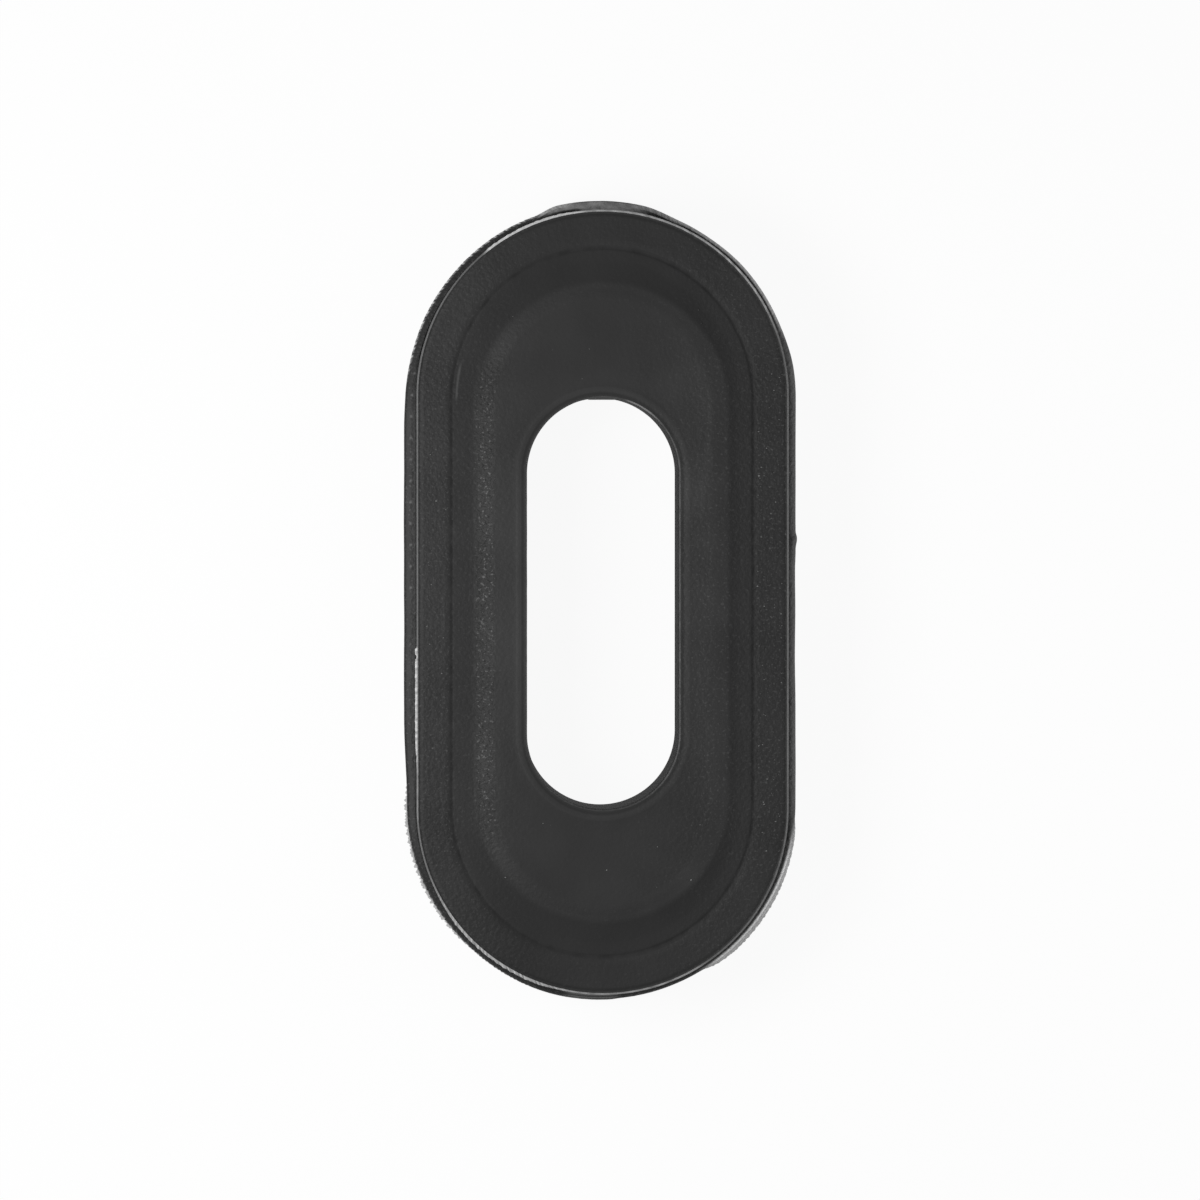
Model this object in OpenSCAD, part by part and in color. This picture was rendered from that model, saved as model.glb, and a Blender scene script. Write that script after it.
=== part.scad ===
// Silicone sealing plug with a cable slot, moulded in one piece.
// Its long side lies along Y, the slot runs through it along Z, and the underside rests on Z = 0.
// Every outline is an obround: two half circles joined by straight sides.
// A section is drawn with x as the distance from the line between the two end centres.

/* [Body] */
// Height from the underside to the top face
body_h = 4; // [3:0.1:8]
// Width of the top face
top_w = 11.1; // [10:0.1:16]
// Length of the top face
top_length = 23.5; // [20:0.1:40]
// How far the wall leans out from the top face to the underside
wall_lean = 0.05; // [0:0.01:1]

/* [Base lip] */
// How far the lip stands out from the foot of the wall
lip_out = 0.38; // [0.1:0.01:1.5]
// Height of the lip above the underside
lip_h = 0.9; // [0.6:0.1:2]
// Radius on the lip's two outer corners
lip_round = 0.24; // [0.05:0.01:0.29]

/* [Channel in the top face] */
// Width of the flat rim along the straight sides
rim_side_w = 0.97; // [0.5:0.01:1.3]
// Width of the flat rim at the middle of the round ends
rim_end_w = 1.06; // [0.5:0.01:1.3]
// Depth of the channel below the rim
channel_d = 0.05; // [0.04:0.01:0.5]
// Width of the channel's flat floor along the straight sides, with the crease
floor_side_w = 0.68; // [0.4:0.01:0.8]
// Width of the channel's flat floor at the middle of the round ends, with the crease
floor_end_w = 0.98; // [0.4:0.01:1.2]
// Width of the smooth slope that rises from the floor to the pad
slope_w = 0.69; // [0.55:0.01:0.9]
// Width of the fine crease at the foot of the rim
crease_w = 0.1; // [0.05:0.01:0.15]
// Depth of the fine crease below the channel's floor
crease_d = 0.02; // [0.02:0.01:0.3]

/* [Slot] */
// Width of the slot at the underside
slot_w = 4.56; // [3:0.02:5.6]
// Length of the slot at the underside
slot_length = 12.38; // [9:0.02:15]
// How far each side of the slot widens from the underside to the top face
slot_lean = 0.01; // [0:0.01:0.3]
// Radius on the slot's top edge
slot_round = 0.02; // [0.02:0.01:0.1]

/* [Bead round the slot] */
// Distance from the slot's top edge to the middle of the bead
bead_offset = 0.26; // [0.15:0.01:0.4]
// Radius of the bead's round back
bead_r = 0.1; // [0.08:0.01:0.12]
// Height of the bead above the pad
bead_h = 0.02; // [0.02:0.01:0.07]

/* [Hidden] */
$fn = 128;

// Extra height that carries a cut clear through a face
through = 1;

top_r = top_w / 2;
body_spacing = top_length - top_w;
wall_foot_r = top_r + wall_lean;
lip_r = wall_foot_r + lip_out;

crease_r = top_r - rim_side_w;
crease_spacing = top_length - 2 * rim_end_w - 2 * crease_r;
floor_z = body_h - channel_d;
slope_foot_r = crease_r - floor_side_w;
slope_top_r = slope_foot_r - slope_w;
pad_spacing = crease_spacing + 2 * floor_side_w - 2 * floor_end_w;
// The slope is two equal arcs that meet halfway up, each level at its far end
slope_arc_r = (slope_w * slope_w + channel_d * channel_d) / (4 * channel_d);

slot_r = slot_w / 2;
slot_top_r = slot_r + slot_lean;
slot_spacing = slot_length - slot_w;
bead_middle_r = slot_top_r + bead_offset;
bead_middle_z = body_h + bead_h - bead_r;

// Carries a section round an obround whose end centres are the given distance apart
module round_obround(spacing) {
    for (turn = [0, 180])
        rotate([0, 0, turn]) {
            translate([0, spacing / 2, 0])
                rotate_extrude(angle = 180)
                    children();
            rotate([90, 0, 0])
                linear_extrude(height = spacing, center = true)
                    children();
        }
}

// Section of the wall and of the lip round its foot
module body_section() {
    polygon([[0, 0], [wall_foot_r, 0], [top_r, body_h], [0, body_h]]);
    square([lip_r - lip_round, lip_h]);
    translate([0, lip_round])
        square([lip_r, lip_h - 2 * lip_round]);
    for (z = [lip_round, lip_h - lip_round])
        translate([lip_r - lip_round, z])
            circle(r = lip_round);
}

// Section of the space inside the rim, down to the channel's floor and its fine crease
module pocket_section() {
    polygon([
        [0, floor_z],
        [crease_r - crease_w, floor_z],
        [crease_r - crease_w, floor_z - crease_d],
        [crease_r, floor_z - crease_d],
        [crease_r, body_h + through],
        [0, body_h + through]
    ]);
}

// Section of the pad and its smooth slope, which are left standing in the pocket
module pad_section() {
    square([slope_top_r, body_h + 2 * through]);
    intersection() {
        square([slope_top_r + slope_w / 2, body_h]);
        translate([slope_top_r, body_h - slope_arc_r])
            circle(r = slope_arc_r);
    }
    difference() {
        square([slope_foot_r, floor_z + channel_d / 2]);
        translate([slope_foot_r, floor_z + slope_arc_r])
            circle(r = slope_arc_r);
    }
}

// Section of the soft bead, with a stem that roots it in the body
module bead_section() {
    translate([bead_middle_r, bead_middle_z])
        circle(r = bead_r);
    translate([bead_middle_r - bead_r, body_h / 2])
        square([2 * bead_r, bead_middle_z - body_h / 2]);
}

// Section of the slot, with its leaning sides and the round on its top edge
module slot_section() {
    polygon([
        [0, -through],
        [slot_r, -through],
        [slot_r, 0],
        [slot_top_r, body_h],
        [slot_top_r, body_h + through],
        [0, body_h + through]
    ]);
    difference() {
        translate([0, body_h - slot_round])
            square([slot_top_r + slot_round, slot_round + through]);
        translate([slot_top_r + slot_round, body_h - slot_round])
            circle(r = slot_round);
    }
}

module sealing_plug() {
    color("#3a3a3a")
        difference() {
            union() {
                difference() {
                    round_obround(body_spacing)
                        body_section();
                    difference() {
                        round_obround(crease_spacing)
                            pocket_section();
                        round_obround(pad_spacing)
                            pad_section();
                    }
                }
                round_obround(slot_spacing)
                    bead_section();
            }
            round_obround(slot_spacing)
                slot_section();
        }
}

sealing_plug();
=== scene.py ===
# Looks of the silicone sealing plug: one black moulding with a matt mould texture,
# fine flash along its edges and a few specks of dust, on a pale floor.
import math
import random

import bpy
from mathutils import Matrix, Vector, noise


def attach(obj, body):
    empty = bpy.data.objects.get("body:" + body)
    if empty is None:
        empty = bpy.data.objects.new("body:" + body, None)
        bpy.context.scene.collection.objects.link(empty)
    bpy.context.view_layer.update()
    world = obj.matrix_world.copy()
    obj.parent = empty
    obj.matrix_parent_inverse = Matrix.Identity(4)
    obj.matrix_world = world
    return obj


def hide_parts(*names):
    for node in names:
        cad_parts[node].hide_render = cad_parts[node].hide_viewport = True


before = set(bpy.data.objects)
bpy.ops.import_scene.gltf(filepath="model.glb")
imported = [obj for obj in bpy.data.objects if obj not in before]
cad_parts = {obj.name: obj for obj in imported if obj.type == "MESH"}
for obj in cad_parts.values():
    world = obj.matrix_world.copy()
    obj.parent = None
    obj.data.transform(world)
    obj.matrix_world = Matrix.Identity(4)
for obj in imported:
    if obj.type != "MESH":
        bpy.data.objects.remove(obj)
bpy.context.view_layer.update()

MM = 0.001

# Sizes of the moulding in millimetres. A radius is measured from the line between the end centres.
TOP_Z = 4.0
TOP_R = 5.55
BODY_SPACING = 12.4
WALL_FOOT_R = 5.6
LIP_R = 5.96
LIP_H = 0.9
LIP_ROUND = 0.22
RIM_INNER_R = 4.64
CREASE_R = 4.53
CREASE_W = 0.09
CREASE_D = 0.005
CREASE_TOP_D = 0.016
CREASE_SPACING = 12.22
CHANNEL_D = 0.05
FLAW_R = 4.385
SLOPE_FOOT_R = 3.9
SLOPE_W = 0.69
PAD_SPACING = 11.62
PAD_R = SLOPE_FOOT_R - SLOPE_W
SLOT_R = 2.28
SLOT_TOP_R = 2.29
SLOT_SPACING = 7.82
SLOT_FIN_R = 2.325
GROOVE_R = 2.4
BEAD_R = 2.55
BEAD_W = 0.16
BEAD_H = 0.004

# Points of the sections, each as how far out from a named radius and how deep below the top
EDGE_DROP = 0.03
EDGE_POINTS = ((-0.12, 0), (-0.09, 0.015), (-0.05, 0.015), (-0.02, 0.005), (0, EDGE_DROP))
SLOT_WALL_POINTS = ((0.002, 3), (0.005, 2), (0.008, 1))
SLOT_EDGE_POINTS = ((0, 0.05), (0.02, 0.006))
GROOVE_POINTS = ((-0.04, 0.004), (0, 0.009), (0.04, 0.001))
CREASE_POINTS = (
    (-CREASE_W, CREASE_TOP_D),
    (-CREASE_W / 2, CREASE_TOP_D),
    (0, CREASE_TOP_D + CREASE_D),
    (0.03, 0.012),
    (0.075, 0.01),
)
EDGE_FLASH_POINTS = ((-0.03, 0.03), (-0.01, -0.012), (0.015, -0.005), (0.032, 0.015))
SLOT_FIN_POINTS = ((0.03, 0.03), (0, -0.004))
SLOT_FIN_TIP = ((-0.003, 0.02),)

# Radii of the loops that divide the level faces
UNDERSIDE_LOOPS = (5, 4, 3, SLOT_R)
PAD_LOOPS = (2.75, 2.9, 3.05)
RIM_LOOPS = (4.75, 4.95, 5.1, 5.25, 5.36)
# Loops of the channel's outer half: the radius, and the share of the way up to the crease
CHANNEL_LOOPS = ((4.05, 0.15), (4.2, 0.45), (4.33, 0.75), (FLAW_R, 0.85))
# Loops of the lip's level top, as how far each lies from the foot of the wall
LIP_LOOPS = (0.02, 0.07)

WALL_ROWS = 8
LIP_STEPS = 6
BEAD_STEPS = 6
SLOPE_STEPS = 7

# The inner loops are drawn in band by band: each band's outer radius and its end centres' new spacing
INNER_BANDS = ((3.1, SLOT_SPACING), (4.0, PAD_SPACING), (4.7, CREASE_SPACING))
# The slot lies a little off the middle, with the loops round it up to this radius
SLOT_SHIFT = (0.01, -0.036, 0)
SHIFTED_R = 2.8

# Steps along each round end, and the cuts that divide each straight side, one pass after another
END_STEPS = 240
SIDE_CUTS = (15, 9)
FINE_END_STEPS = 500
FINE_SIDE_CUTS = (19, 15)

# Gaps in millimetres that count as none when vertices, edges and loops are picked out
MERGE_GAP = 0.0005
LEVEL_GAP = 0.002
HAIR = 0.001
LOOP_GAP = 0.01
# An edge of a straight side is still to be cut if it has this share of the whole length
UNCUT_SHARE = 0.9

# Lengths along the edge of the top, clockwise from the middle of its upper end. A stretch
# of the edge is its start, its end, and how softly it starts and ends.
QUARTER = math.pi / 2 * TOP_R
HALF_ROUND = 2 * QUARTER + BODY_SPACING
WHOLE_ROUND = 2 * HALF_ROUND


def activate(piece):
    """Makes a piece the only selected one."""
    bpy.ops.object.select_all(action="DESELECT")
    piece.select_set(True)
    bpy.context.view_layer.objects.active = piece


def arc(centre_r, centre_z, radius, start, end, steps):
    """Points of a section along an arc, from one angle to another in degrees."""
    points = []
    for step in range(steps + 1):
        angle = math.radians(start + (end - start) * step / steps)
        points.append((centre_r + radius * math.cos(angle), centre_z + radius * math.sin(angle)))
    return points


def below_top(radius, points):
    """Points of a section, given as how far out from a radius and how deep below the top."""
    return [(radius + out, TOP_Z - depth) for out, depth in points]


def divide_sides(strip, spacing, side_cuts):
    """Cuts the long edges of the straight sides into even steps, one pass after another."""
    length = spacing
    for cuts in side_cuts:
        bpy.ops.mesh.select_all(action="DESELECT")
        bpy.ops.object.mode_set(mode="OBJECT")
        points = strip.data.vertices
        for edge in strip.data.edges:
            start, end = [points[index].co for index in edge.vertices]
            level = abs(start.z - end.z) + abs(start.x - end.x) < LEVEL_GAP
            on_side = max(abs(start.y), abs(end.y)) < spacing / 2 + HAIR
            edge.select = level and on_side and abs(start.y - end.y) > UNCUT_SHARE * length
        bpy.ops.object.mode_set(mode="EDIT")
        bpy.ops.mesh.subdivide(number_cuts=cuts)
        length /= cuts + 1


def sweep(name, section, spacing, end_steps, side_cuts):
    """Draws a section point by point, then spins and extrudes it once round an obround."""
    bpy.ops.object.select_all(action="DESELECT")
    bpy.ops.mesh.primitive_plane_add(size=1)
    strip = bpy.context.object
    strip.name = name
    bpy.ops.object.mode_set(mode="EDIT")
    bpy.ops.mesh.select_mode(type="VERT")
    bpy.ops.mesh.merge(type="CENTER")
    first = section[0]
    bpy.ops.transform.translate(value=(first[0], spacing / 2, first[1]))
    for before, after in zip(section, section[1:]):
        step = (after[0] - before[0], 0, after[1] - before[1])
        bpy.ops.mesh.extrude_region_move(TRANSFORM_OT_translate={"value": step})
    bpy.ops.mesh.select_all(action="SELECT")
    for side in (1, -1):
        centre = (0, side * spacing / 2, 0)
        bpy.ops.mesh.spin(steps=end_steps, angle=-math.pi, center=centre, axis=(0, 0, 1))
        bpy.ops.mesh.extrude_region_move(TRANSFORM_OT_translate={"value": (0, -side * spacing, 0)})
    bpy.ops.mesh.select_all(action="SELECT")
    bpy.ops.mesh.remove_doubles(threshold=MERGE_GAP)
    bpy.ops.mesh.select_mode(type="EDGE")
    divide_sides(strip, spacing, side_cuts)
    bpy.ops.mesh.select_all(action="SELECT")
    bpy.ops.mesh.normals_make_consistent(inside=False)
    bpy.ops.object.mode_set(mode="OBJECT")
    return strip


def sweep_closed(name, section, spacing, end_steps, side_cuts):
    """Sweeps a section that ends where it starts."""
    return sweep(name, section + section[:1], spacing, end_steps, side_cuts)


def section_distance(point, spacing):
    """How far a point lies from the line between the end centres."""
    return math.hypot(point.x, max(abs(point.y) - spacing / 2, 0))


def select_points(piece, chosen):
    """Selects the vertices whose place passes a test, and nothing else."""
    bpy.ops.object.mode_set(mode="EDIT")
    bpy.ops.mesh.select_mode(type="VERT")
    bpy.ops.mesh.select_all(action="DESELECT")
    bpy.ops.object.mode_set(mode="OBJECT")
    for vertex in piece.data.vertices:
        vertex.select = chosen(vertex.co)
    bpy.ops.object.mode_set(mode="EDIT")


def draw_in(piece, inner_r, outer_r, new_spacing):
    """Brings the round ends of the loops between two radii nearer together."""
    half = BODY_SPACING / 2 - HAIR

    def within(point):
        return inner_r < section_distance(point, BODY_SPACING) < outer_r

    select_points(piece, lambda point: within(point) and abs(point.y) < half)
    bpy.ops.transform.resize(value=(1, new_spacing / BODY_SPACING, 1), center_override=(0, 0, 0))
    bpy.ops.object.mode_set(mode="OBJECT")
    for side in (1, -1):
        select_points(piece, lambda point: within(point) and side * point.y > half)
        bpy.ops.transform.translate(value=(0, side * (new_spacing - BODY_SPACING) / 2, 0))
        bpy.ops.object.mode_set(mode="OBJECT")


def shift_slot(piece):
    """Moves the loops round the slot by the little that the slot lies off the middle."""
    select_points(piece, lambda point: section_distance(point, SLOT_SPACING) < SHIFTED_R)
    bpy.ops.transform.translate(value=SLOT_SHIFT)
    bpy.ops.object.mode_set(mode="OBJECT")


# The group whose weights say how far each point is pushed
PUSH_GROUP = "push_amounts"


def push(piece, amounts, direction="NORMAL"):
    """Moves each point by its own number of millimetres, along its normal or along an axis."""
    lowest = min(amounts)
    reach = max(amounts) - lowest
    group = piece.vertex_groups.new(name=PUSH_GROUP)
    for index, amount in enumerate(amounts):
        group.add([index], (amount - lowest) / reach, "REPLACE")
    activate(piece)
    for strength, group_name in ((lowest, ""), (reach, PUSH_GROUP)):
        if strength == 0:
            continue
        modifier = piece.modifiers.new("push", "DISPLACE")
        modifier.direction = direction
        modifier.mid_level = 0
        modifier.strength = strength
        modifier.vertex_group = group_name
        bpy.ops.object.modifier_apply(modifier=modifier.name)
    piece.vertex_groups.remove(piece.vertex_groups[PUSH_GROUP])


def spread(piece, amount_at):
    """Moves each point level, straight out from the line between the end centres."""
    moves = []
    for vertex in piece.data.vertices:
        point = vertex.co
        past_end = math.copysign(max(abs(point.y) - BODY_SPACING / 2, 0), point.y)
        moves.append(Vector((point.x, past_end, 0)).normalized() * amount_at(point))
    push(piece, [move.x for move in moves], "X")
    push(piece, [move.y for move in moves], "Y")


def paint(piece, **rules):
    """Stores numbers at each point for the material, each by its own rule or the same all over."""
    for name, rule in rules.items():
        attribute = piece.data.attributes.new(name, "FLOAT", "POINT")
        for vertex, cell in zip(piece.data.vertices, attribute.data):
            cell.value = rule(vertex.co) if callable(rule) else rule


def smooth(value):
    """0 below nought, 1 above one and an even curve between."""
    held = min(max(value, 0), 1)
    return held * held * (3 - 2 * held)


def rise(value, start, width):
    """0 up to a start, and 1 from a width past it."""
    return smooth((value - start) / width)


def fall(value, end, width):
    """1 up to a width before an end, and 0 from that end."""
    return smooth((end - value) / width)


def peak(value, middle, reach):
    """1 at a middle, fading to 0 at a reach to each side."""
    return smooth(1 - abs(value - middle) / reach)


def blend(value, steps):
    """Reads a value off a list of (position, level) pairs, with even curves between them."""
    for (start, low), (end, high) in zip(steps, steps[1:]):
        if value < end:
            return low + (high - low) * smooth((value - start) / (end - start))
    return steps[-1][1]


def place_on_edge(point):
    """Millimetres along the top edge, clockwise from the middle of its upper end."""
    half = BODY_SPACING / 2
    if point.y > half:
        return math.atan2(point.x, point.y - half) * TOP_R % WHOLE_ROUND
    if point.y < -half:
        return HALF_ROUND + math.atan2(-point.x, -point.y - half) * TOP_R
    if point.x > 0:
        return QUARTER + half - point.y
    return HALF_ROUND + QUARTER + half + point.y


def on_stretch(place, stretch):
    """1 on a stretch of the edge, fading to 0 at its start and its end."""
    start, end, soft_start, soft_end = stretch
    along = (place - start) % WHOLE_ROUND
    length = (end - start) % WHOLE_ROUND
    return smooth(along / soft_start) * smooth((length - along) / soft_end)


def roughness(place, size, seed, across=0):
    """A noise of about 0 to 1 along an edge, with grains of about the given size."""
    return 0.5 + 0.5 * noise.noise(Vector((place / size, across / size, seed)))


def slanted(point, size, slant, seed):
    """A noise of about 0 to 1 whose streaks cross the edge at a slant."""
    across = section_distance(point, BODY_SPACING)
    return roughness(place_on_edge(point) + across * slant, size, seed)


def broken(level, gain, gap):
    """A noise with its contrast raised, so that it falls into marks and gaps."""
    return smooth(level * gain - gap)


def round_end(point):
    """0 along the straight sides and 1 well round the ends."""
    return smooth((abs(point.y) - BODY_SPACING / 2 - 0.5) / 2)


# How light the moulding is by place, as a share of the silicone's own black; most of it is painted light
# and shade. A lean is how much a tone changes from the middle to the right, and the opposite to the
# left.
# Painted shade: the slot and the outer wall are darkened
SLOT_SHADED_TONE = 0.35
WALL_SHADED_TONE = 0.7
# The pad's tone, with painted light to the right and at the upper right, a painted highlight on the bead
# and painted shade in the groove
PAD_TONE = 1.2
PAD_LIGHT_LEAN = 0.1
UPPER_RIGHT_LIGHT = 0.3
BEAD_HIGHLIGHT = 0.25
GROOVE_SHADE = 0.35
# Painted light on the slope: lightest along its left side and at the right of the ends
SLOPE_TONE = 1.25
SLOPE_SIDE_LIGHT = 0.33
SLOPE_LIGHT_LEAN = 0.35
SLOPE_END_LIGHT = 0.38
# Painted shade in the channel, darkest at the slope's foot, with painted light leaning to the left
CHANNEL_FOOT_SHADED_TONE = 0.72
CHANNEL_TONE = 0.82
CHANNEL_LIGHT_LEAN = 0.23
# Painted light and shade on the rim: darker next to the crease and to the right, lighter at the ends'
# right, darker at the lower left
CREASE_EDGE_SHADED_TONE = 0.8
CREASE_EDGE_SHADE_LEAN = 0.18
RIM_TONE = 0.95
RIM_LIGHT_LEAN = 0.04
RIM_LOWER_LEFT_SHADE = 0.22
# Painted shade on the crease's step face at the right
STEP_SHADE = 0.28

# The small pale flaw beside the crease
FLAW_TONE = 2
FLAW = (50.9, 52.5, 0.12, 0.5)

# Anything deeper than this below the top is wall, lip or slot
TOP_FACE_D = 0.2
# Where the tone of the slope gives way to the channel's, and the channel's to the crease's
SLOPE_TONE_END_R = SLOPE_FOOT_R - 0.25
CHANNEL_TONE_END_R = RIM_INNER_R - 0.2


def end_shade(point):
    """Painted shade: the top is a little darker towards its two ends, and most at the lower left."""
    middle = fall(abs(point.x), 4.5, 2)
    lower_left = rise(-point.y, 6.5, 1.5) * smooth(-point.x / 2)
    return 1 - 0.22 * rise(abs(point.y), 4.5, 3.5) * middle - 0.1 * lower_left


def upper_right_light_mask(point):
    """Where the pad gets painted light: 1 at its upper right and 0 elsewhere."""
    return rise(point.y, 3.5, 2) * rise(point.x, 1.3, 1.2)


def slope_tone(point):
    """Painted light: the slope up to the pad is lightest along its left side and at the right of the
    ends.
    """
    along_side = rise(abs(point.x), 2, 1.6)
    side = (SLOPE_SIDE_LIGHT - SLOPE_LIGHT_LEAN * point.x / 3.5) * (1 - 0.7 * rise(abs(point.y), 5.6, 1.8))
    right_end = round_end(point) * rise(point.x, 0.5, 2)
    return SLOPE_TONE + along_side * side + SLOPE_END_LIGHT * right_end


def pad_tone(point, r):
    """The pad has a painted highlight on its bead, painted shade in the groove inside it, and painted
    light to the right.
    """
    band = fall(abs(r - BEAD_R + 0.015), 0.09, 0.03)
    groove = peak(r, GROOVE_R, 0.06)
    pad = PAD_TONE + PAD_LIGHT_LEAN * point.x / TOP_R + UPPER_RIGHT_LIGHT * upper_right_light_mask(point)
    pad *= (1 + BEAD_HIGHLIGHT * band) * (1 - GROOVE_SHADE * groove)
    return pad + (slope_tone(point) - pad) * rise(r, PAD_R, 0.12)


def channel_tone(point, r):
    """Painted shade makes the channel darkest at the slope's foot, and painted light makes it lighter to
    the left.
    """
    lean = -0.04 - CHANNEL_LIGHT_LEAN * point.x / TOP_R
    steps = [
        (SLOPE_TONE_END_R, slope_tone(point)),
        (SLOPE_FOOT_R + 0.02, CHANNEL_FOOT_SHADED_TONE + lean),
        (4.3, CHANNEL_TONE + lean),
    ]
    return blend(r, steps)


def rim_tone(point, r):
    """Painted light and shade: the rim is lightest at its ends' right and darkest at its lower left, and
    darker next to the crease.
    """
    side = point.x / TOP_R
    rim = RIM_TONE - RIM_LIGHT_LEAN * side + round_end(point) * (0.06 + 0.1 * smooth(point.x / 2))
    rim -= RIM_LOWER_LEFT_SHADE * rise(-point.y, 5, 1.5) * smooth(-point.x / 3)
    crease_edge = CREASE_EDGE_SHADED_TONE - CREASE_EDGE_SHADE_LEAN * side
    return blend(r, [(4.44, crease_edge), (RIM_INNER_R + 0.02, rim)])


def crease_shade_strength(point):
    """How dark the painted shade in the crease is: broken dashes along the sides and faint blotches
    round the ends.
    """
    place = place_on_edge(point)
    dashes = 0.27 + 0.42 * broken(roughness(place, 0.3, seed=51), 2.4, 0.7)
    blotches = 0.11 + 0.42 * broken(roughness(place, 0.5, seed=53), 3, 1.1)
    right = 0.15 * smooth(point.x / 2)
    return right + dashes + (blotches - dashes) * round_end(point)


def silicone_tone(point):
    """How light the moulding is by place, mostly as painted light and shade: most on the slope's left,
    least in the slot.
    """
    r = section_distance(point, BODY_SPACING)
    # Painted shade: the walls and the slot are darker
    if point.z < TOP_Z - TOP_FACE_D:
        return SLOT_SHADED_TONE if r < GROOVE_R else WALL_SHADED_TONE
    if r < SLOT_TOP_R + LOOP_GAP:
        return SLOT_SHADED_TONE
    if r < SLOPE_TONE_END_R:
        return end_shade(point) * pad_tone(point, r)
    if r < CHANNEL_TONE_END_R:
        tone = end_shade(point) * channel_tone(point, r)
        if abs(r - FLAW_R) < LOOP_GAP:
            tone += FLAW_TONE * on_stretch(place_on_edge(point), FLAW)
        return tone
    tone = end_shade(point) * rim_tone(point, r)
    # Painted shade on the crease's step face at the right
    tone -= STEP_SHADE * peak(r, CREASE_R + 0.07, 0.06) * smooth(point.x / 2)
    # Painted shade along the crease
    return tone * (1 - peak(r, CREASE_R, 0.12) * crease_shade_strength(point))


def silicone_grain(point):
    """How rough the mould's grain is by place: most on the slope's left, least in the channel. It also
    weights the pale flecks, which are partly painted glints on the lit left slope.
    """
    r = section_distance(point, BODY_SPACING)
    sides = 0.35 + 0.65 * rise(abs(point.x), 1.5, 2.5)
    ends = 1 - 0.4 * round_end(point)
    right = smooth(point.x / 2)
    straight = 1 - rise(abs(point.y), 6.2, 1.8)
    slope = 0.4 + 1.4 * rise(-point.x, 2, 1) * straight
    steps = [
        (PAD_R, 0.2 + 0.35 * right),
        (PAD_R + 0.12, slope),
        (SLOPE_FOOT_R - 0.22, slope),
        (SLOPE_FOOT_R - 0.02, 0.2),
        (RIM_INNER_R - 0.05, 0.2),
        (RIM_INNER_R, 0.47 + 0.13 * right),
    ]
    return blend(r, steps) * sides * ends


# How much the silicone shines: the slot and the wall hardly, the rest a little
SLOT_GLOSS = 0.016
WALL_GLOSS = 0.05
GLOSS = 0.4


def silicone_gloss(point):
    """How much the moulding shines by place."""
    r = section_distance(point, BODY_SPACING)
    if r < SLOT_TOP_R + LOOP_GAP:
        return SLOT_GLOSS
    if r < WALL_FOOT_R + LOOP_GAP and point.z < TOP_Z - TOP_FACE_D:
        return WALL_GLOSS
    return GLOSS


def moulding_section():
    """The section of the whole moulding, from its edge down the wall and back up the slot."""
    edge = below_top(TOP_R, EDGE_POINTS)
    wall = []
    for row in range(1, WALL_ROWS + 1):
        share = row / WALL_ROWS
        height = TOP_Z - EDGE_DROP + (LIP_H - TOP_Z + EDGE_DROP) * share
        wall.append((TOP_R + (WALL_FOOT_R - TOP_R) * share, height))
    lip = [(WALL_FOOT_R + out, LIP_H) for out in LIP_LOOPS]
    lip += arc(LIP_R - LIP_ROUND, LIP_H - LIP_ROUND, LIP_ROUND, 88, 0, LIP_STEPS)
    lip += arc(LIP_R - LIP_ROUND, LIP_ROUND, LIP_ROUND, 0, -90, LIP_STEPS)
    underside = [(r, 0) for r in UNDERSIDE_LOOPS]
    slot = below_top(SLOT_R, SLOT_WALL_POINTS) + below_top(SLOT_TOP_R, SLOT_EDGE_POINTS)
    groove = below_top(GROOVE_R, GROOVE_POINTS)
    bead_arc_r = (BEAD_W ** 2 / 4 + BEAD_H ** 2) / (2 * BEAD_H)
    reach = math.degrees(math.asin(BEAD_W / 2 / bead_arc_r))
    bead = arc(BEAD_R, TOP_Z + BEAD_H - bead_arc_r, bead_arc_r, 90 + reach, 90 - reach, BEAD_STEPS)
    pad = [(r, TOP_Z) for r in PAD_LOOPS]
    slope_arc_r = (SLOPE_W ** 2 + CHANNEL_D ** 2) / (4 * CHANNEL_D)
    lean = math.degrees(math.asin(SLOPE_W / 2 / slope_arc_r))
    channel_z = TOP_Z - CHANNEL_D
    slope = arc(PAD_R, TOP_Z - slope_arc_r, slope_arc_r, 90, 90 - lean, SLOPE_STEPS)
    slope += arc(SLOPE_FOOT_R, channel_z + slope_arc_r, slope_arc_r, -90 - lean, -90, SLOPE_STEPS)[1:]
    rise_to_crease = TOP_Z - CREASE_TOP_D - channel_z
    channel = [(r, channel_z + share * rise_to_crease) for r, share in CHANNEL_LOOPS]
    crease = below_top(CREASE_R, CREASE_POINTS)
    rim = [(r, TOP_Z) for r in (RIM_INNER_R,) + RIM_LOOPS]
    return edge + wall + lip + underside + slot + groove + bead + pad + slope + channel + crease + rim


# Where the lip stands out or back: by how many millimetres, and on which stretch of the edge
LIP_CHANGES = (
    (0.015, (39, 51, 2, 2)),
    (-0.09, (1.2, 8.0, 1.2, 2.0)),
    (0.025, (3.2, 7.2, 1.5, 1.2)),
    (0.04, (12.8, 13.35, 0.22, 0.3)),
    (-0.015, (13.4, 18.5, 0.6, 2)),
    (-0.02, (26.4, 29.6, 0.5, 0.4)),
    (-0.075, (30.8, 41.2, 3.5, 2.8)),
    (-0.1, (50.0, 58.5, 2.8, 0.8)),
    (-0.025, (53.2, 58.3, 1.5, 0.6)),
)


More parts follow.
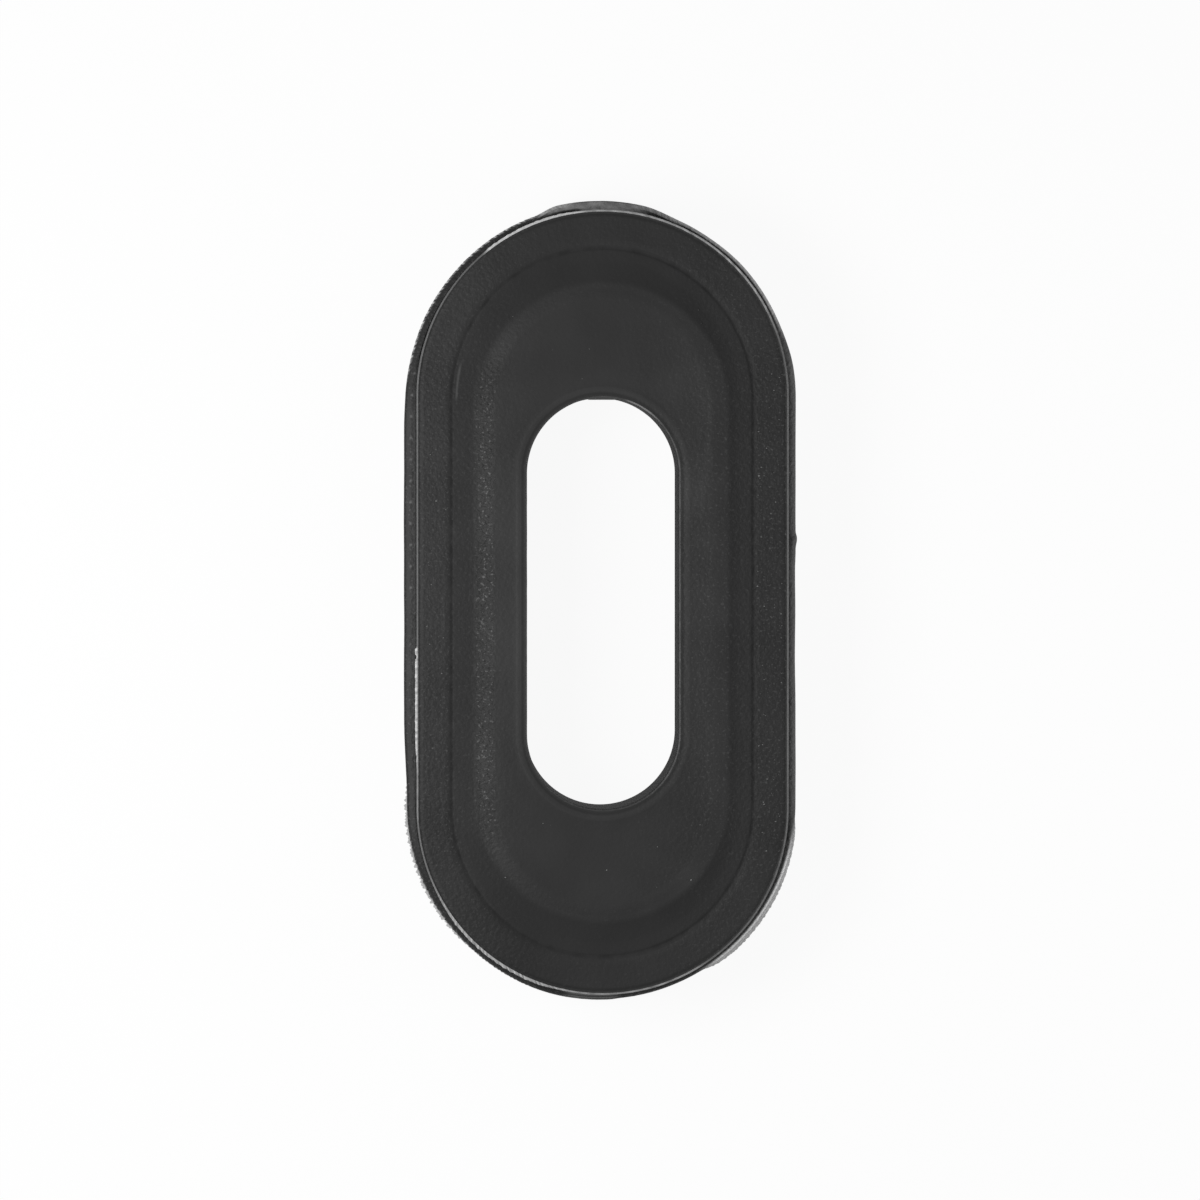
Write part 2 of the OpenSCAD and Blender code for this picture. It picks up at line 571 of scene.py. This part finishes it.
def lip_reach(point):
    """How far the lip stands out or back, in millimetres, by its place round the plug."""
    place = place_on_edge(point)
    reach = 0.02 * roughness(place, 1.6, seed=47) - 0.025
    for amount, stretch in LIP_CHANGES:
        reach += amount * on_stretch(place, stretch)
    held = rise(section_distance(point, BODY_SPACING), WALL_FOOT_R + LIP_LOOPS[0], 0.1)
    return reach * held * (point.z < LIP_H + 0.05)


def make_moulding():
    """The whole moulding: its section is swept once round, then its inner loops are drawn in."""
    moulding = sweep_closed("moulding", moulding_section(), BODY_SPACING, END_STEPS, SIDE_CUTS)
    paint(moulding, tone=silicone_tone, grain=silicone_grain, pale=0, gloss=silicone_gloss)
    spread(moulding, lip_reach)
    inner_r = 0
    for outer_r, spacing in INNER_BANDS:
        draw_in(moulding, inner_r, outer_r, spacing)
        inner_r = outer_r
    shift_slot(moulding)
    return moulding


# Stretches where the top edge's flash is wider, and the breaks in its long sliver
WIDER_UPPER_RIGHT = (0.6, 6.8, 0.4, 1)
WIDER_LOWER_LEFT = (31.2, 36.2, 0.6, 1.6)
WIDER_UPPER_LEFT = (55.8, 58.9, 0.3, 0.6)
SLIVER = (39.6, 43.42, 1.2, 0.06)
SLIVER_BREAKS = ((40.0, 40.2, 0.06, 0.06), (43.05, 43.2, 0.05, 0.05))
THIN_FLASH_W = 0.01
UPPER_LEFT_FLASH_W = 0.038
WIDE_FLASH_W = 0.06

# Stretches where it is pale
PALE_TOP = (59.2, 7.2, 0.3, 2)
PALE_LOWER_RIGHT = (26.3, 31.4, 0.8, 0.5)
PALE_LOWER_LEFT = (30.8, 36.8, 0.5, 2)
PALE_BEFORE_SLIVER = (38.0, 40.4, 0.6, 0.5)
PALE_SLIVER = (39.6, 43.42, 0.8, 0.06)
PALE_UPPER_LEFT = (55.7, 59.5, 0.4, 0.6)


def edge_flash_width(point):
    """How far the flash of the top edge stands out, in millimetres."""
    place = place_on_edge(point)
    ragged = roughness(place, 0.12, seed=3)
    width = THIN_FLASH_W * roughness(place, 0.5, seed=7)
    width += THIN_FLASH_W * ragged * on_stretch(place, WIDER_UPPER_RIGHT)
    width += WIDE_FLASH_W * ragged * on_stretch(place, WIDER_LOWER_LEFT)
    whole = 1 - sum(on_stretch(place, gap) for gap in SLIVER_BREAKS)
    width += WIDE_FLASH_W * (0.4 + 0.6 * ragged) * whole * on_stretch(place, SLIVER)
    width += UPPER_LEFT_FLASH_W * ragged * on_stretch(place, WIDER_UPPER_LEFT)
    return width


def edge_paleness(point):
    """How pale the flash of the top edge is: white along several stretches, and grey between, where it
    is partly real flash and partly a painted highlight along the edge line.
    """
    place = place_on_edge(point)
    marks = 0.2 + 0.8 * broken(slanted(point, 0.07, 1.8, seed=17), 2.4, 0.8)
    sliver = 0.25 + 0.4 * broken(roughness(place, 0.1, seed=25), 3, 1)
    outer = smooth((section_distance(point, BODY_SPACING) - TOP_R + 0.008) / 0.02)
    # The grey all round is partly real flash and partly a painted highlight along the edge line
    level = 0.08 + 0.05 * roughness(place, 0.2, seed=11) + 0.04 * roughness(place, 2, seed=13)
    level += 0.55 * slanted(point, 0.2, 1.5, seed=19) * on_stretch(place, PALE_TOP)
    level += 0.36 * roughness(place, 0.3, seed=17) * on_stretch(place, PALE_LOWER_RIGHT)
    level += 0.2 * roughness(place, 0.2, seed=17) * on_stretch(place, PALE_BEFORE_SLIVER)
    level += 0.52 * marks * on_stretch(place, PALE_LOWER_LEFT)
    level += outer * sliver * on_stretch(place, PALE_SLIVER)
    level += 0.35 * (1 + roughness(place, 0.15, seed=21)) * on_stretch(place, PALE_UPPER_LEFT)
    return level


def make_edge_flash():
    """The thin fin where the two halves of the mould met, round the top edge."""
    section = below_top(TOP_R, EDGE_FLASH_POINTS)
    flash = sweep_closed("edge_flash", section, BODY_SPACING, FINE_END_STEPS, FINE_SIDE_CUTS)

    def outward(point):
        reach = smooth((section_distance(point, BODY_SPACING) - TOP_R + 0.01) / 0.04)
        return reach * edge_flash_width(point)

    paint(flash, tone=1, grain=0.5, pale=edge_paleness, gloss=GLOSS)
    spread(flash, outward)
    return flash


# The flash over the lip: how far it stands proud, how deep it is rooted and how far down it reaches
FLASH_PROUD = 0.003
FLASH_ROOT = 0.03
FLASH_FLAT_STEP = 0.035
FLASH_FLAT_START = 0.01
FLASH_LOW_ANGLE = -30

# Stretches of the lip where the flash is lighter, pale, streaked or toothed
LIP_RIGHT_SIDE = (6.5, 22, 2, 1)
LIP_LEFT_SIDE = (36, 53, 3, 3)
WEDGE = (57.4, 59.3, 0.3, 0.3)
TAB = (57.9, 1.6, 0.5, 0.6)
TAB_END = (0.9, 2.6, 0.3, 0.6)
SHOULDER = (57.7, 59.2, 0.3, 0.6)
UPPER_BAND = (1.6, 7.4, 0.6, 1.4)
FADING_BAND = (6, 9.6, 1, 2)
CRESCENT = (21.3, 27.0, 1.8, 0.9)
FOOT_LINES = (29.2, 31.0, 0.3, 0.4)
UPPER_TEETH = (51.2, 58.2, 1, 0.3)
LOWER_TEETH = (31.8, 38, 1.5, 0.8)
TOOL_MARKS = (44.5, 52, 0.5, 0.5)
TOOL_MARK_STEP = 0.65
UPPER_FRAY = (51.4, 58, 1, 0.4)
LOWER_FRAY = (31.4, 38, 1, 1)


def lip_inset(point):
    """How far a point lies inside the lip's rim."""
    return LIP_R - section_distance(point, BODY_SPACING)


def lip_tone(point):
    """Painted light makes the lip lighter along the two sides; it is dark round the ends, and painted
    shade darkens its very rim.
    """
    place = place_on_edge(point)
    # Painted light along both sides of the lip, with painted shade at its very rim on the left
    right = 2.6 * on_stretch(place, LIP_RIGHT_SIDE)
    left = on_stretch(place, LIP_LEFT_SIDE) * (1.75 * rise(lip_inset(point), 0.035, 0.05) - 0.45)
    return 0.8 + right + left


def tab_paleness(point):
    """The thin tab at the top, cut by a dark wedge, with its streaked end and shoulder."""
    place = place_on_edge(point)
    inset = lip_inset(point)
    streaks = slanted(point, 0.07, 0.6, seed=29)
    wedge = on_stretch(place, WEDGE) * smooth((inset - 0.13 - 0.05 * (place - 58)) / 0.05)
    tab = on_stretch(place, TAB) * rise(inset, 0.015, 0.02) * (1 - wedge)
    tab *= 0.12 + 0.45 * roughness(place, 0.2, seed=31, across=inset * 1.4)
    end = 0.7 * streaks * on_stretch(place, TAB_END) * fall(inset, 0.13, 0.03)
    shoulder = (0.21 + 0.49 * streaks) * on_stretch(place, SHOULDER) * fall(inset, 0.1, 0.02)
    return max(tab, end, shoulder)


def band_paleness(point):
    """The streaked bands at the upper and the lower right, and the fine lines at the foot."""
    place = place_on_edge(point)
    inset = lip_inset(point)
    streaks = slanted(point, 0.07, 0.6, seed=29)
    upper = (0.26 + 0.39 * streaks) * on_stretch(place, UPPER_BAND) * fall(inset, 0.09, 0.025)
    fading = 0.08 * streaks * on_stretch(place, FADING_BAND)
    crescent = on_stretch(place, CRESCENT) * fall(inset, 0.085, 0.04)
    crescent *= 0.3 + 0.45 * streaks + 0.3 * fall(inset, 0.08, 0.08)
    lines = 0.16 * on_stretch(place, FOOT_LINES) * broken(abs(math.cos(inset * 50)), 1.4, 0.4)
    return max(upper, fading, crescent, lines)


def tooth_paleness(point):
    """The teeth at the upper and the lower left, and the faint even marks between them."""
    place = place_on_edge(point)
    inset = lip_inset(point)
    teeth = broken(slanted(point, 0.08, 1.2, seed=23), 3.4, 1.3)
    upper = 0.7 * teeth * on_stretch(place, UPPER_TEETH) * fall(inset, 0.05, 0.02)
    lower = 0.4 * teeth * on_stretch(place, LOWER_TEETH) * fall(inset, 0.03, 0.02)
    marks = 0.16 * peak(place % TOOL_MARK_STEP, 0.3, 0.06) * on_stretch(place, TOOL_MARKS)
    return max(upper, lower, marks * peak(inset, 0.2, 0.06))


def lip_paleness(point):
    """How pale the lip's thin flash is."""
    return max(tab_paleness(point), band_paleness(point), tooth_paleness(point))


def lip_fray(point):
    """How far the flash over the lip stands out past its rim, in millimetres."""
    place = place_on_edge(point)
    teeth = broken(slanted(point, 0.06, 0, seed=37), 3, 1.1)
    fray = 0.004 * roughness(place, 0.15, seed=37)
    fray += 0.01 * teeth * on_stretch(place, UPPER_FRAY)
    fray += 0.02 * teeth * on_stretch(place, LOWER_FRAY)
    return fray * fall(lip_inset(point), 0.06, 0.06)


def make_lip_flash():
    """The thin flash that lies over the lip and frays at its rim."""
    centre = (LIP_R - LIP_ROUND, LIP_H - LIP_ROUND)
    start_r = WALL_FOOT_R + FLASH_FLAT_START
    flat = [(start_r + step * FLASH_FLAT_STEP, LIP_H + FLASH_PROUD) for step in range(4)]
    outer = arc(*centre, LIP_ROUND + FLASH_PROUD, 88, FLASH_LOW_ANGLE, 12)
    inner = arc(*centre, LIP_ROUND - FLASH_ROOT, FLASH_LOW_ANGLE, 88, 3)
    section = flat + outer + inner + [(start_r, LIP_H + FLASH_PROUD - FLASH_ROOT)]
    flash = sweep_closed("lip_flash", section, BODY_SPACING, FINE_END_STEPS, FINE_SIDE_CUTS)
    paint(flash, tone=lip_tone, grain=0.7, pale=lip_paleness, gloss=GLOSS)
    spread(flash, lip_fray)
    spread(flash, lip_reach)
    return flash


# The film at the lip's rim: its section as steps out and up from the rim, and where it stands out
FILM_POINTS = ((-0.07, -0.02), (-0.035, 0.01), (-0.02, 0))
FILM_CRESCENT = (21.2, 27.0, 0.9, 0.8)
FILM_CRESCENT_MIDDLE = (21.2, 27.0, 3.2, 1.4)
FILM_FRINGE = (32.5, 39.6, 3, 1.2)
FILM_GREY = (30, 41, 1, 1)


def film_reach(point):
    """How far the film stands out, in millimetres."""
    place = place_on_edge(point)
    teeth = broken(slanted(point, 0.08, 0, seed=57), 3, 1)
    rises = 0.085 * on_stretch(place, FILM_CRESCENT) + 0.07 * on_stretch(place, FILM_CRESCENT_MIDDLE)
    crescent = (0.85 + 0.15 * teeth) * rises
    fringe = (0.05 + 0.08 * teeth) * on_stretch(place, FILM_FRINGE)
    return (crescent + fringe) * fall(lip_inset(point), 0.05, 0.03)


def film_paleness(point):
    """The film is white in its crescent and greyer in its fringe."""
    fringe = on_stretch(place_on_edge(point), FILM_GREY)
    return 0.75 - 0.3 * fringe + 0.25 * slanted(point, 0.08, 0, seed=59)


def make_lip_film():
    """A white film that stands out from the lip in a crescent and in a thin fringe."""
    section = [(LIP_R + out, LIP_H - LIP_ROUND + up) for out, up in FILM_POINTS]
    film = sweep_closed("lip_film", section, BODY_SPACING, FINE_END_STEPS, FINE_SIDE_CUTS)
    paint(film, tone=1, grain=0.3, pale=film_paleness, gloss=GLOSS)
    spread(film, film_reach)
    spread(film, lip_reach)
    return film


# The film across the slot's upper end: how far past the end centre its straight edge lies, and its sides
SLOT_FILM_END = 2.213
SLOT_FILM_SIDES = (-0.45, 0.62)
# The pale stretch of its upper right corner, in radians round the end centre
SLOT_CORNER = (0.25, 0.9, 0.15, 0.3)


def slot_paleness(point):
    """The fin is broken and paler at the right, partly as painted light where it faces the light, and
    most at the upper right corner.
    """
    past_end = point.y - SLOT_SPACING / 2
    marks = 0.3 + 0.7 * broken(roughness(point.x, 0.18, seed=41, across=point.y), 2.6, 0.8)
    # Partly painted light: the fin is paler on the right, where it faces the light
    right = 0.05 * smooth(point.x - 1.2)
    corner = 0.16 * on_stretch(math.atan2(point.x, past_end), SLOT_CORNER) * (past_end > 0)
    return 0.035 + marks * right + corner


def slot_fin_reach(point):
    """How far the fin stands into the slot, in millimetres, with the film across its upper end."""
    if section_distance(point, SLOT_SPACING) > SLOT_TOP_R + LOOP_GAP:
        return 0
    left, right = SLOT_FILM_SIDES
    film = max(point.y - SLOT_SPACING / 2 - SLOT_FILM_END, 0) * (left < point.x < right)
    return 0.008 * roughness(point.x, 0.4, seed=43, across=point.y) + film


def make_slot_flash():
    """The broken fin along the top edge of the slot."""
    section = below_top(SLOT_FIN_R, SLOT_FIN_POINTS) + below_top(SLOT_TOP_R, SLOT_FIN_TIP)
    flash = sweep_closed("slot_flash", section, SLOT_SPACING, END_STEPS, SIDE_CUTS)
    paint(flash, tone=0.9, grain=0.5, pale=slot_paleness, gloss=GLOSS)
    push(flash, [slot_fin_reach(vertex.co) for vertex in flash.data.vertices])
    shift_slot(flash)
    return flash


# Dust: how many specks, how large, and how far along the plug they lie on its rim
DUST_SEED = 5
DUST_SPECKS = 150
DUST_RADII = (0.006, 0.018)
RIM_DUST_REACH = 7.5
# One speck in about seven lies on the pad's two ends instead
PAD_DUST_SHARE = 0.15
PAD_DUST_HALF_W = 3
PAD_DUST_ENDS = (6.6, 9)


def make_dust():
    """Specks of dust on the top, thickest along the right side of the rim."""
    rng = random.Random(DUST_SEED)
    bpy.ops.object.select_all(action="DESELECT")
    bpy.ops.mesh.primitive_ico_sphere_add(subdivisions=1, radius=0.001, location=(0, 8, TOP_Z - 0.01))
    dust = bpy.context.object
    dust.name = "dust"
    bpy.ops.object.mode_set(mode="EDIT")
    for _ in range(DUST_SPECKS):
        side = rng.choice((1, 1, 1, 1, -1))
        x = side * rng.uniform(RIM_INNER_R, TOP_R - 0.15)
        y = rng.uniform(-RIM_DUST_REACH, RIM_DUST_REACH)
        if rng.random() < PAD_DUST_SHARE:
            x = rng.uniform(-PAD_DUST_HALF_W, PAD_DUST_HALF_W)
            y = rng.choice((1, -1)) * rng.uniform(*PAD_DUST_ENDS)
        bpy.ops.mesh.select_all(action="DESELECT")
        size = rng.uniform(*DUST_RADII)
        bpy.ops.mesh.primitive_ico_sphere_add(subdivisions=1, radius=size, location=(x, y, TOP_Z))
        bpy.ops.transform.resize(value=(rng.uniform(0.7, 1.8), 1, 0.6))
        bpy.ops.transform.vertex_random(offset=size * 0.4, seed=rng.randrange(1000))
    bpy.ops.object.mode_set(mode="OBJECT")
    bpy.ops.object.transform_apply(location=True, rotation=False, scale=False)
    return dust


def to_metres(piece):
    """Brings a piece that was modelled in millimetres to its real size."""
    activate(piece)
    bpy.ops.transform.resize(value=(MM, MM, MM), center_override=(0, 0, 0))
    bpy.ops.object.transform_apply(location=True, rotation=False, scale=True)
    bpy.ops.object.shade_smooth_by_angle(angle=math.radians(50))


def node(material, kind, **sockets):
    """Adds a shader node and sets its sockets by name."""
    added = material.node_tree.nodes.new(kind)
    for name, value in sockets.items():
        added.inputs[name.replace("_", " ")].default_value = value
    return added


def link(material, source, output, target, socket):
    """Joins an output of one node to a socket of another."""
    material.node_tree.links.new(source.outputs[output], target.inputs[socket])


def new_material(name):
    """A material with no nodes yet."""
    material = bpy.data.materials.new(name)
    material.use_nodes = True
    material.node_tree.nodes.clear()
    return material


def set_surface(material, shader, output):
    """Makes a shader the material's surface."""
    link(material, shader, output, node(material, "ShaderNodeOutputMaterial"), "Surface")


def grey(level):
    """A grey with full cover."""
    return (level, level, level, 1)


def painted(material, name):
    """The number that paint() stored under a name."""
    attribute = node(material, "ShaderNodeAttribute")
    attribute.attribute_name = name
    return attribute


def coordinates_in_mm(material):
    """Object coordinates, turned into millimetres."""
    place = node(material, "ShaderNodeTexCoord")
    scale = node(material, "ShaderNodeMapping", Scale=(1 / MM, 1 / MM, 1 / MM))
    link(material, place, "Object", scale, "Vector")
    return scale


def noise_in_mm(material, coordinates, size, detail):
    """A noise whose grains are about the given size across."""
    texture = node(material, "ShaderNodeTexNoise", Scale=1 / size, Detail=detail)
    link(material, coordinates, "Vector", texture, "Vector")
    return texture


def ranged(material, source, output, low, high, to_low, to_high):
    """Maps a number from one range to another and holds it there."""
    mapped = node(material, "ShaderNodeMapRange")
    for name, value in (("From Min", low), ("From Max", high), ("To Min", to_low), ("To Max", to_high)):
        mapped.inputs[name].default_value = value
    link(material, source, output, mapped, "Value")
    return mapped


def greys(material, source, start, dark, end, light):
    """Greys that go from dark to light between two levels of a noise."""
    ramp = node(material, "ShaderNodeValToRGB")
    for element, position, level in zip(ramp.color_ramp.elements, (start, end), (dark, light)):
        element.position = position
        element.color = grey(level)
    link(material, source, "Fac", ramp, "Fac")
    return ramp


def calculated(material, operation, first, first_output, second, second_output):
    """A product of two numbers, or the greater of them."""
    result = node(material, "ShaderNodeMath")
    result.operation = operation
    link(material, first, first_output, result, 0)
    link(material, second, second_output, result, 1)
    return result


# Sockets of a colour mix, counted from 0
COLOUR_A = 6
COLOUR_B = 7
COLOUR_OUT = 2


def mixed(material, factor, output, colour):
    """A mix towards one colour, whose share is driven by a number."""
    mix = node(material, "ShaderNodeMix")
    mix.data_type = "RGBA"
    mix.inputs[COLOUR_B].default_value = colour
    link(material, factor, output, mix, 0)
    return mix


# The silicone's greys, and the sizes of its grain, clouds and flecks in millimetres
SILICONE_DARK = 0.018
SILICONE_LIGHT = 0.024
# Grey of the pale flecks, which are partly real specks and partly painted glints
FLECK_AND_GLINT_GREY = 0.35
FLASH_GREY = 0.85
GRAIN_SIZE = 0.12
GRAIN_DEPTH = 0.07
CLOUD_SIZE = 1.5
FLECK_SIZE = 0.08
FLECK_SHARE = 0.2


def silicone_material():
    """Matt black silicone with the fine grain of a blasted mould, paler where it is thin flash."""
    material = new_material("black_silicone")
    coordinates = coordinates_in_mm(material)
    shader = node(material, "ShaderNodeBsdfPrincipled", IOR=1.41)
    link(material, painted(material, "gloss"), "Fac", shader, "Specular IOR Level")
    set_surface(material, shader, "BSDF")
    grain = painted(material, "grain")
    tone = painted(material, "tone")
    pale = painted(material, "pale")

    fine = noise_in_mm(material, coordinates, GRAIN_SIZE, 2)
    bump = node(material, "ShaderNodeBump", Distance=GRAIN_DEPTH * MM)
    link(material, fine, "Fac", bump, "Height")
    link(material, grain, "Fac", bump, "Strength")
    link(material, bump, "Normal", shader, "Normal")
    finish = ranged(material, grain, "Fac", 0, 1, 0.52, 0.7)
    link(material, finish, "Result", shader, "Roughness")

    cloud = noise_in_mm(material, coordinates, CLOUD_SIZE, 3)
    shade = greys(material, cloud, 0.3, SILICONE_DARK, 0.7, SILICONE_LIGHT)
    # The painted tone scales the colour: most of it is painted light and shade by place
    toned = node(material, "ShaderNodeVectorMath")
    toned.operation = "SCALE"
    link(material, shade, "Color", toned, "Vector")
    link(material, tone, "Fac", toned, "Scale")

    # Pale flecks where the grain is strongest: partly real specks and partly painted glints, most on the
    # slope's left
    specks = noise_in_mm(material, coordinates, FLECK_SIZE, 1)
    flecks = ranged(material, specks, "Fac", 0.6, 0.76, 0, FLECK_SHARE)
    flecked = calculated(material, "MULTIPLY", flecks, "Result", grain, "Fac")
    speckle = mixed(material, flecked, "Value", grey(FLECK_AND_GLINT_GREY))
    link(material, toned, "Vector", speckle, COLOUR_A)
    flash = mixed(material, pale, "Fac", grey(FLASH_GREY))
    link(material, speckle, COLOUR_OUT, flash, COLOUR_A)
    link(material, flash, COLOUR_OUT, shader, "Base Color")
    return material


def dust_material():
    """Pale grey lint."""
    material = new_material("grey_dust")
    shader = node(material, "ShaderNodeBsdfPrincipled", Roughness=0.9)
    set_surface(material, shader, "BSDF")
    patches = noise_in_mm(material, coordinates_in_mm(material), 0.4, 1)
    shade = greys(material, patches, 0.35, 0.06, 0.7, 0.3)
    link(material, shade, "Color", shader, "Base Color")
    return material


# How much of the white card the camera sees as plain white
CARD_GLOW_SHARE = 0.93


def floor_material():
    """White card, which the camera sees almost as bright where the plug shades it."""
    material = new_material("white_card")
    card = node(material, "ShaderNodeBsdfDiffuse", Color=grey(0.9))
    glow = node(material, "ShaderNodeEmission", Color=grey(1), Strength=1)
    rays = node(material, "ShaderNodeLightPath")
    seen = calculated(material, "MAXIMUM", rays, "Is Camera Ray", rays, "Is Glossy Ray")
    seen = calculated(material, "MAXIMUM", seen, "Value", rays, "Is Transmission Ray")
    share = ranged(material, seen, "Value", 0, 1, 0, CARD_GLOW_SHARE)
    mix = node(material, "ShaderNodeMixShader")
    link(material, share, "Result", mix, "Fac")
    link(material, card, "BSDF", mix, 1)
    link(material, glow, "Emission", mix, 2)
    set_surface(material, mix, "Shader")
    return material


def make_floor():
    """A wide white floor."""
    bpy.ops.object.select_all(action="DESELECT")
    bpy.ops.mesh.primitive_plane_add(size=1.2, location=(0, 0, 0))
    floor = bpy.context.object
    floor.name = "floor"
    floor.data.materials.append(floor_material())


def make_world(strength):
    """Even white light all round."""
    world = bpy.data.worlds.new("studio")
    bpy.context.scene.world = world
    world.use_nodes = True
    sky = world.node_tree.nodes["Background"]
    sky.inputs["Color"].default_value = grey(1)
    sky.inputs["Strength"].default_value = strength


def area_light(name, position, size, power):
    """A soft square lamp that faces the plug."""
    bpy.ops.object.light_add(type="AREA", location=position)
    lamp = bpy.context.object
    lamp.name = name
    lamp.data.shape = "SQUARE"
    lamp.data.size = size
    lamp.data.energy = power
    lamp.rotation_euler = (-Vector(position)).to_track_quat("-Z", "Y").to_euler()


# The picture is 36 mm wide at the top face, from 250 mm away. The places are in metres.
FRAME_WIDTH = 36
CAMERA_DISTANCE = 250
CAMERA_PLACE = (-0.006, 0.0045, 0.254)
CAMERA_AIM = (-0.000083, 0.000078, 0.004)


def make_camera():
    """Looks down on the plug from a quarter of a metre, less than two degrees off upright."""
    bpy.ops.object.camera_add(location=CAMERA_PLACE)
    camera = bpy.context.object
    camera.data.sensor_width = FRAME_WIDTH
    camera.data.lens = CAMERA_DISTANCE
    camera.data.clip_start = 0.01
    camera.data.clip_end = 10
    away = (Vector(CAMERA_AIM) - Vector(CAMERA_PLACE)).normalized()
    camera.rotation_euler = (math.asin(away.y), math.atan2(-away.x, -away.z), 0)
    bpy.context.scene.camera = camera


silicone = silicone_material()
moulding = make_moulding()
flashes = [make_edge_flash(), make_lip_flash(), make_lip_film(), make_slot_flash()]
dust = make_dust()
for piece in [moulding] + flashes:
    to_metres(piece)
    piece.data.materials.append(silicone)
    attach(piece, "root")
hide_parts("sealing_plug")
to_metres(dust)
dust.data.materials.append(dust_material())
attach(dust, "root")

make_floor()
make_world(strength=0.28)
area_light("key_lamp", position=(-0.03, -0.001, 0.047), size=0.025, power=0.022)
area_light("side_lamp", position=(0.06, -0.01, 0.015), size=0.03, power=0.016)
make_camera()
bpy.context.scene.view_settings.view_transform = "Standard"
